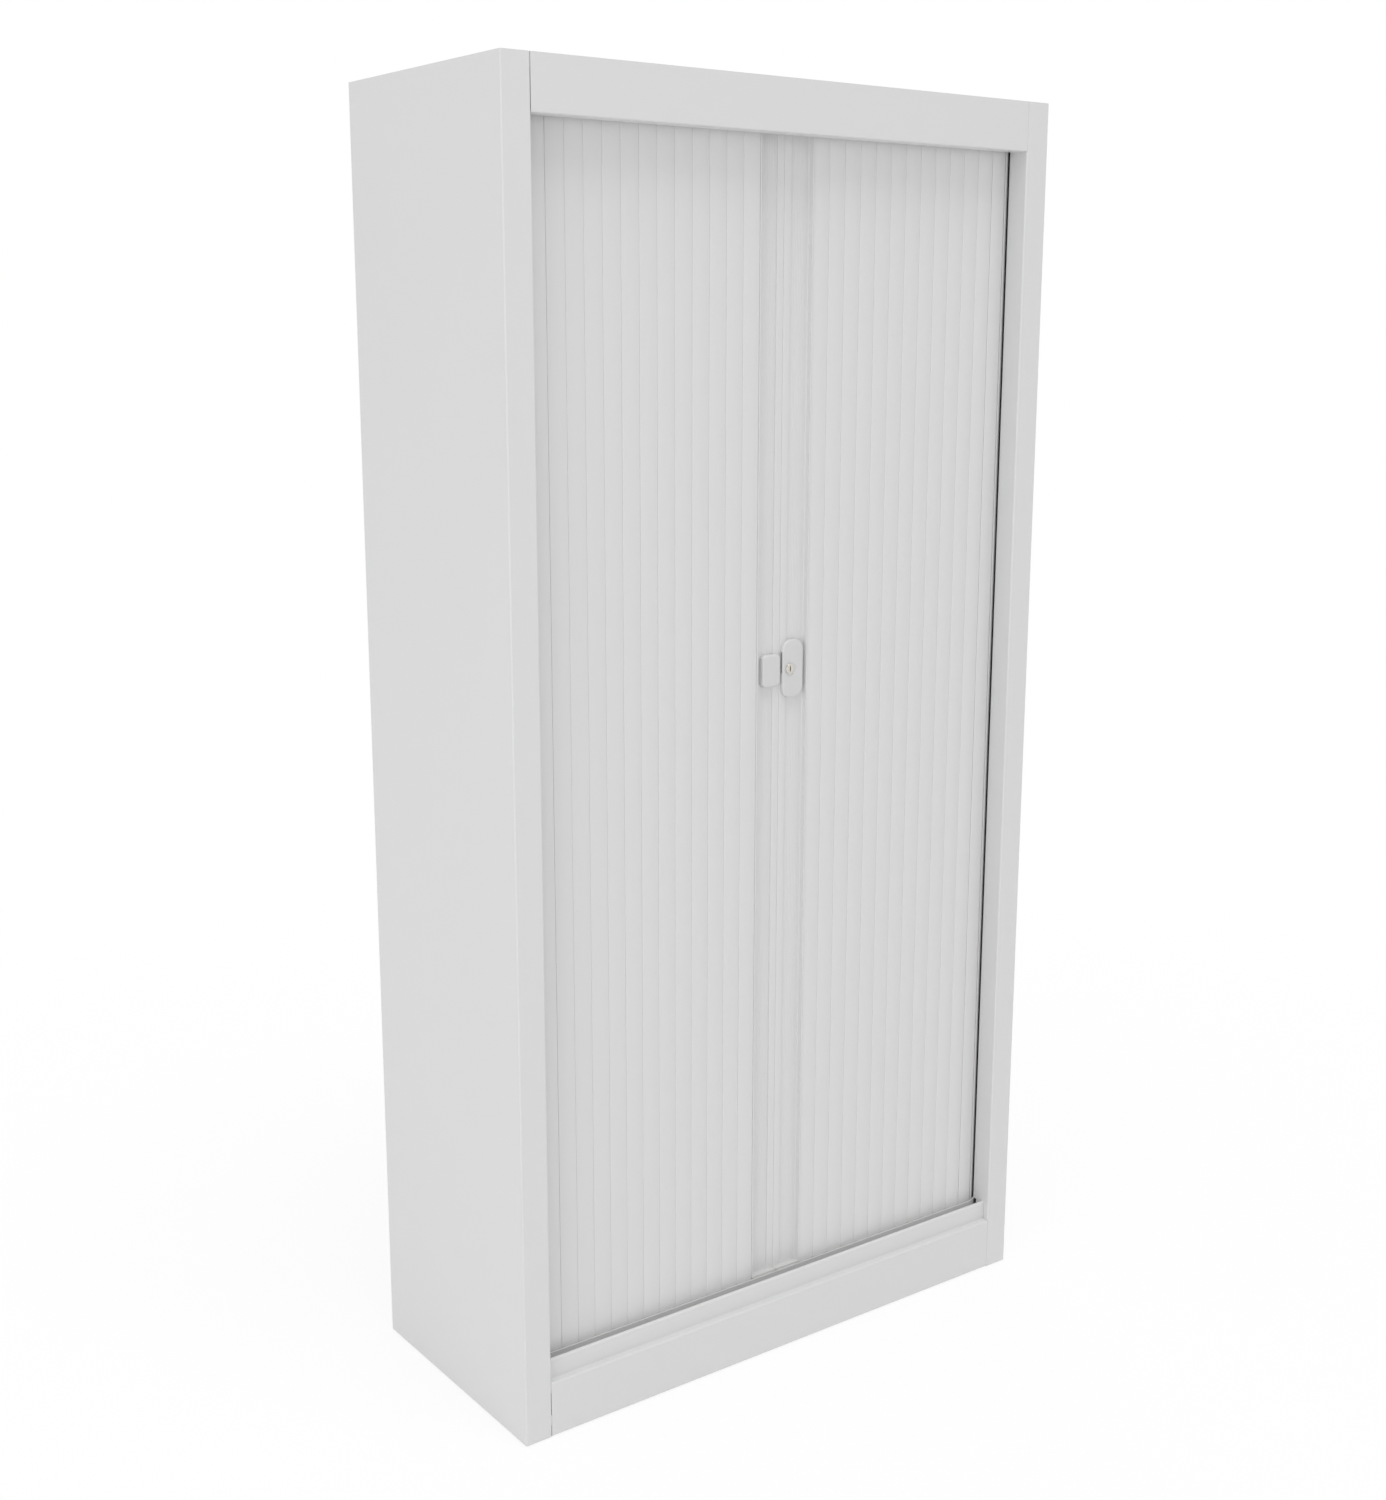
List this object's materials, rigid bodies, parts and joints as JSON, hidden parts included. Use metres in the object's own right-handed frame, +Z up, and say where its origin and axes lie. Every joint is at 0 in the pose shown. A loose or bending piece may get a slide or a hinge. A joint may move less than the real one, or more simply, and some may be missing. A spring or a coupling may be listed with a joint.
{
  "type": "tambour door cabinet",
  "caption": "Tall free-standing sheet-steel cabinet with two side-opening tambour shutters of vertical slats, a lock at mid height, inner shelves and levelling feet.",
  "frame": {"origin": "on the floor, under the middle of the cabinet's footprint", "axes": "+Z up, the shutters face -Y, +X to the right of someone who faces them"},
  "size_m": [1, 0.43, 1.98],
  "materials": {
    "coated_steel": "fine-textured pale grey powder coat",
    "slat_plastic": "extruded pale grey plastic, satin",
    "coated_aluminium": "pale grey powder coat on an extrusion",
    "track_plastic": "moulded grey plastic",
    "nylon": "black nylon",
    "moulded_housing": "moulded pale grey plastic",
    "nickel_plated": "satin nickel plate",
    "zinc_plated_steel": "bright zinc plate",
    "foot_steel": "turned and zinc plated"
  },
  "bodies": {
    "casing": {"left_side_panel": "coated_steel", "right_side_panel": "coated_steel", "back_panel": "coated_steel", "top_panel": "coated_steel", "ceiling_panel": "coated_steel", "base_panel": "coated_steel", "header_rail": "coated_steel", "plinth_rail": "coated_steel", "left_liner": "coated_steel", "right_liner": "coated_steel", "shelf_uprights": "coated_steel", "shelf_1": "coated_steel", "shelf_2": "coated_steel", "shelf_3": "coated_steel", "shelf_4": "coated_steel", "shelf_clips": "zinc_plated_steel", "upper_tracks": "track_plastic", "lower_tracks": "track_plastic", "centre_stops": "nylon", "foot_brackets": "zinc_plated_steel"},
    "left_leading_edge": {"left_leading_profile": "coated_aluminium", "left_runners": "nylon", "strike_housing": "moulded_housing", "left_slat_01": "slat_plastic"},
    "right_leading_edge": {"right_leading_profile": "coated_aluminium", "right_runners": "nylon", "lock_housing": "moulded_housing", "right_slat_01": "slat_plastic"},
    "lock_barrel": {"lock_cylinder": "nickel_plated", "lock_hook": "nickel_plated"},
    "left_slat_02": {"left_slat_02": "slat_plastic"},
    "left_slat_03": {"left_slat_03": "slat_plastic"},
    "left_slat_04": {"left_slat_04": "slat_plastic"},
    "left_slat_05": {"left_slat_05": "slat_plastic"},
    "left_slat_06": {"left_slat_06": "slat_plastic"},
    "left_slat_07": {"left_slat_07": "slat_plastic"},
    "left_slat_08": {"left_slat_08": "slat_plastic"},
    "left_slat_09": {"left_slat_09": "slat_plastic"},
    "left_slat_10": {"left_slat_10": "slat_plastic"},
    "left_slat_11": {"left_slat_11": "slat_plastic"},
    "left_slat_12": {"left_slat_12": "slat_plastic"},
    "left_slat_13": {"left_slat_13": "slat_plastic"},
    "left_slat_14": {"left_slat_14": "slat_plastic"},
    "right_slat_02": {"right_slat_02": "slat_plastic"},
    "right_slat_03": {"right_slat_03": "slat_plastic"},
    "right_slat_04": {"right_slat_04": "slat_plastic"},
    "right_slat_05": {"right_slat_05": "slat_plastic"},
    "right_slat_06": {"right_slat_06": "slat_plastic"},
    "right_slat_07": {"right_slat_07": "slat_plastic"},
    "right_slat_08": {"right_slat_08": "slat_plastic"},
    "right_slat_09": {"right_slat_09": "slat_plastic"},
    "right_slat_10": {"right_slat_10": "slat_plastic"},
    "right_slat_11": {"right_slat_11": "slat_plastic"},
    "right_slat_12": {"right_slat_12": "slat_plastic"},
    "right_slat_13": {"right_slat_13": "slat_plastic"},
    "right_slat_14": {"right_slat_14": "slat_plastic"},
    "levelling_foot_1": {"levelling_foot_1": "foot_steel"},
    "levelling_foot_2": {"levelling_foot_2": "foot_steel"},
    "levelling_foot_3": {"levelling_foot_3": "foot_steel"},
    "levelling_foot_4": {"levelling_foot_4": "foot_steel"}
  },
  "joints": [
    {"name": "left_shutter_slide", "type": "slide", "parent": "casing", "child": "left_leading_edge", "axis": [-1, 0, 0], "range_m": [0, 0.3447]},
    {"name": "left_slat_02_swing", "type": "hinge", "parent": "casing", "child": "left_slat_02", "pos_m": [-0.25475, 1.17561, 0], "axis": [0, 0, -1], "range_deg": [0, 14.52], "deforming": ["left_slat_02"]},
    {"name": "left_slat_03_swing", "type": "hinge", "parent": "casing", "child": "left_slat_03", "pos_m": [-0.27645, 0.19669, 0], "axis": [0, 0, -1], "range_deg": [0, 49.74], "deforming": ["left_slat_03"]},
    {"name": "left_slat_04_swing", "type": "hinge", "parent": "casing", "child": "left_slat_04", "pos_m": [-0.2922, 0.0265, 0], "axis": [0, 0, -1], "range_deg": [0, 82.77], "deforming": ["left_slat_04"]},
    {"name": "left_slat_05_swing", "type": "hinge", "parent": "casing", "child": "left_slat_05", "pos_m": [-0.29631, 0.00584, 0], "axis": [0, 0, -1], "range_deg": [0, 90], "deforming": ["left_slat_05"]},
    {"name": "left_slat_06_swing", "type": "hinge", "parent": "casing", "child": "left_slat_06", "pos_m": [-0.29631, 0.00584, 0], "axis": [0, 0, -1], "range_deg": [0, 90], "deforming": ["left_slat_06"]},
    {"name": "left_slat_07_swing", "type": "hinge", "parent": "casing", "child": "left_slat_07", "pos_m": [-0.29631, 0.00584, 0], "axis": [0, 0, -1], "range_deg": [0, 90], "deforming": ["left_slat_07"]},
    {"name": "left_slat_08_swing", "type": "hinge", "parent": "casing", "child": "left_slat_08", "pos_m": [-0.29631, 0.00584, 0], "axis": [0, 0, -1], "range_deg": [0, 90], "deforming": ["left_slat_08"]},
    {"name": "left_slat_09_swing", "type": "hinge", "parent": "casing", "child": "left_slat_09", "pos_m": [-0.29631, 0.00584, 0], "axis": [0, 0, -1], "range_deg": [0, 90], "deforming": ["left_slat_09"]},
    {"name": "left_slat_10_swing", "type": "hinge", "parent": "casing", "child": "left_slat_10", "pos_m": [-0.29631, 0.00584, 0], "axis": [0, 0, -1], "range_deg": [0, 90], "deforming": ["left_slat_10"]},
    {"name": "left_slat_11_swing", "type": "hinge", "parent": "casing", "child": "left_slat_11", "pos_m": [-0.29631, 0.00584, 0], "axis": [0, 0, -1], "range_deg": [0, 90], "deforming": ["left_slat_11"]},
    {"name": "left_slat_12_swing", "type": "hinge", "parent": "casing", "child": "left_slat_12", "pos_m": [-0.29631, 0.00584, 0], "axis": [0, 0, -1], "range_deg": [0, 90], "deforming": ["left_slat_12"]},
    {"name": "left_slat_13_swing", "type": "hinge", "parent": "casing", "child": "left_slat_13", "pos_m": [-0.2805, 0.00912, 0], "axis": [0, 0, -1], "range_deg": [0, 84.34], "deforming": ["left_slat_13"]},
    {"name": "left_slat_14_swing", "type": "hinge", "parent": "casing", "child": "left_slat_14", "pos_m": [-0.12631, 0.02445, 0], "axis": [0, 0, -1], "range_deg": [0, 52.36], "deforming": ["left_slat_14"]},
    {"name": "right_shutter_slide", "type": "slide", "parent": "casing", "child": "right_leading_edge", "axis": [1, 0, 0], "range_m": [0, 0.3447]},
    {"name": "right_slat_02_swing", "type": "hinge", "parent": "casing", "child": "right_slat_02", "pos_m": [0.25475, 1.17561, 0], "axis": [0, 0, 1], "range_deg": [0, 14.52], "deforming": ["right_slat_02"]},
    {"name": "right_slat_03_swing", "type": "hinge", "parent": "casing", "child": "right_slat_03", "pos_m": [0.27645, 0.19669, 0], "axis": [0, 0, 1], "range_deg": [0, 49.74], "deforming": ["right_slat_03"]},
    {"name": "right_slat_04_swing", "type": "hinge", "parent": "casing", "child": "right_slat_04", "pos_m": [0.2922, 0.0265, 0], "axis": [0, 0, 1], "range_deg": [0, 82.77], "deforming": ["right_slat_04"]},
    {"name": "right_slat_05_swing", "type": "hinge", "parent": "casing", "child": "right_slat_05", "pos_m": [0.29631, 0.00584, 0], "axis": [0, 0, 1], "range_deg": [0, 90], "deforming": ["right_slat_05"]},
    {"name": "right_slat_06_swing", "type": "hinge", "parent": "casing", "child": "right_slat_06", "pos_m": [0.29631, 0.00584, 0], "axis": [0, 0, 1], "range_deg": [0, 90], "deforming": ["right_slat_06"]},
    {"name": "right_slat_07_swing", "type": "hinge", "parent": "casing", "child": "right_slat_07", "pos_m": [0.29631, 0.00584, 0], "axis": [0, 0, 1], "range_deg": [0, 90], "deforming": ["right_slat_07"]},
    {"name": "right_slat_08_swing", "type": "hinge", "parent": "casing", "child": "right_slat_08", "pos_m": [0.29631, 0.00584, 0], "axis": [0, 0, 1], "range_deg": [0, 90], "deforming": ["right_slat_08"]},
    {"name": "right_slat_09_swing", "type": "hinge", "parent": "casing", "child": "right_slat_09", "pos_m": [0.29631, 0.00584, 0], "axis": [0, 0, 1], "range_deg": [0, 90], "deforming": ["right_slat_09"]},
    {"name": "right_slat_10_swing", "type": "hinge", "parent": "casing", "child": "right_slat_10", "pos_m": [0.29631, 0.00584, 0], "axis": [0, 0, 1], "range_deg": [0, 90], "deforming": ["right_slat_10"]},
    {"name": "right_slat_11_swing", "type": "hinge", "parent": "casing", "child": "right_slat_11", "pos_m": [0.29631, 0.00584, 0], "axis": [0, 0, 1], "range_deg": [0, 90], "deforming": ["right_slat_11"]},
    {"name": "right_slat_12_swing", "type": "hinge", "parent": "casing", "child": "right_slat_12", "pos_m": [0.29631, 0.00584, 0], "axis": [0, 0, 1], "range_deg": [0, 90], "deforming": ["right_slat_12"]},
    {"name": "right_slat_13_swing", "type": "hinge", "parent": "casing", "child": "right_slat_13", "pos_m": [0.2805, 0.00912, 0], "axis": [0, 0, 1], "range_deg": [0, 84.34], "deforming": ["right_slat_13"]},
    {"name": "right_slat_14_swing", "type": "hinge", "parent": "casing", "child": "right_slat_14", "pos_m": [0.12631, 0.02445, 0], "axis": [0, 0, 1], "range_deg": [0, 52.36], "deforming": ["right_slat_14"]},
    {"name": "lock_turn", "type": "hinge", "parent": "right_leading_edge", "child": "lock_barrel", "pos_m": [0.016, -0.1805, 1.122], "axis": [0, -1, 0], "range_deg": [0, 90]},
    {"name": "levelling_foot_1_turn", "type": "hinge", "parent": "casing", "child": "levelling_foot_1", "pos_m": [-0.43, -0.14905, 0], "axis": [0, 0, 1], "continuous": true},
    {"name": "levelling_foot_2_turn", "type": "hinge", "parent": "casing", "child": "levelling_foot_2", "pos_m": [0.43, -0.14905, 0], "axis": [0, 0, 1], "continuous": true},
    {"name": "levelling_foot_3_turn", "type": "hinge", "parent": "casing", "child": "levelling_foot_3", "pos_m": [-0.43, 0.1762, 0], "axis": [0, 0, 1], "continuous": true},
    {"name": "levelling_foot_4_turn", "type": "hinge", "parent": "casing", "child": "levelling_foot_4", "pos_m": [0.43, 0.1762, 0], "axis": [0, 0, 1], "continuous": true}
  ],
  "couplings": [
    {"joint": "left_slat_02_swing", "follows": "left_shutter_slide", "rad_per_m": 0.73489},
    {"joint": "left_slat_03_swing", "follows": "left_shutter_slide", "rad_per_m": 2.5187},
    {"joint": "left_slat_04_swing", "follows": "left_shutter_slide", "rad_per_m": 4.191},
    {"joint": "left_slat_05_swing", "follows": "left_shutter_slide", "rad_per_m": 4.557},
    {"joint": "left_slat_06_swing", "follows": "left_shutter_slide", "rad_per_m": 4.557},
    {"joint": "left_slat_07_swing", "follows": "left_shutter_slide", "rad_per_m": 4.557},
    {"joint": "left_slat_08_swing", "follows": "left_shutter_slide", "rad_per_m": 4.557},
    {"joint": "left_slat_09_swing", "follows": "left_shutter_slide", "rad_per_m": 4.557},
    {"joint": "left_slat_10_swing", "follows": "left_shutter_slide", "rad_per_m": 4.557},
    {"joint": "left_slat_11_swing", "follows": "left_shutter_slide", "rad_per_m": 4.557},
    {"joint": "left_slat_12_swing", "follows": "left_shutter_slide", "rad_per_m": 4.557},
    {"joint": "left_slat_13_swing", "follows": "left_shutter_slide", "rad_per_m": 4.2705},
    {"joint": "left_slat_14_swing", "follows": "left_shutter_slide", "rad_per_m": 2.6513},
    {"joint": "right_slat_02_swing", "follows": "right_shutter_slide", "rad_per_m": 0.73489},
    {"joint": "right_slat_03_swing", "follows": "right_shutter_slide", "rad_per_m": 2.5187},
    {"joint": "right_slat_04_swing", "follows": "right_shutter_slide", "rad_per_m": 4.191},
    {"joint": "right_slat_05_swing", "follows": "right_shutter_slide", "rad_per_m": 4.557},
    {"joint": "right_slat_06_swing", "follows": "right_shutter_slide", "rad_per_m": 4.557},
    {"joint": "right_slat_07_swing", "follows": "right_shutter_slide", "rad_per_m": 4.557},
    {"joint": "right_slat_08_swing", "follows": "right_shutter_slide", "rad_per_m": 4.557},
    {"joint": "right_slat_09_swing", "follows": "right_shutter_slide", "rad_per_m": 4.557},
    {"joint": "right_slat_10_swing", "follows": "right_shutter_slide", "rad_per_m": 4.557},
    {"joint": "right_slat_11_swing", "follows": "right_shutter_slide", "rad_per_m": 4.557},
    {"joint": "right_slat_12_swing", "follows": "right_shutter_slide", "rad_per_m": 4.557},
    {"joint": "right_slat_13_swing", "follows": "right_shutter_slide", "rad_per_m": 4.2705},
    {"joint": "right_slat_14_swing", "follows": "right_shutter_slide", "rad_per_m": 2.6513}
  ]
}
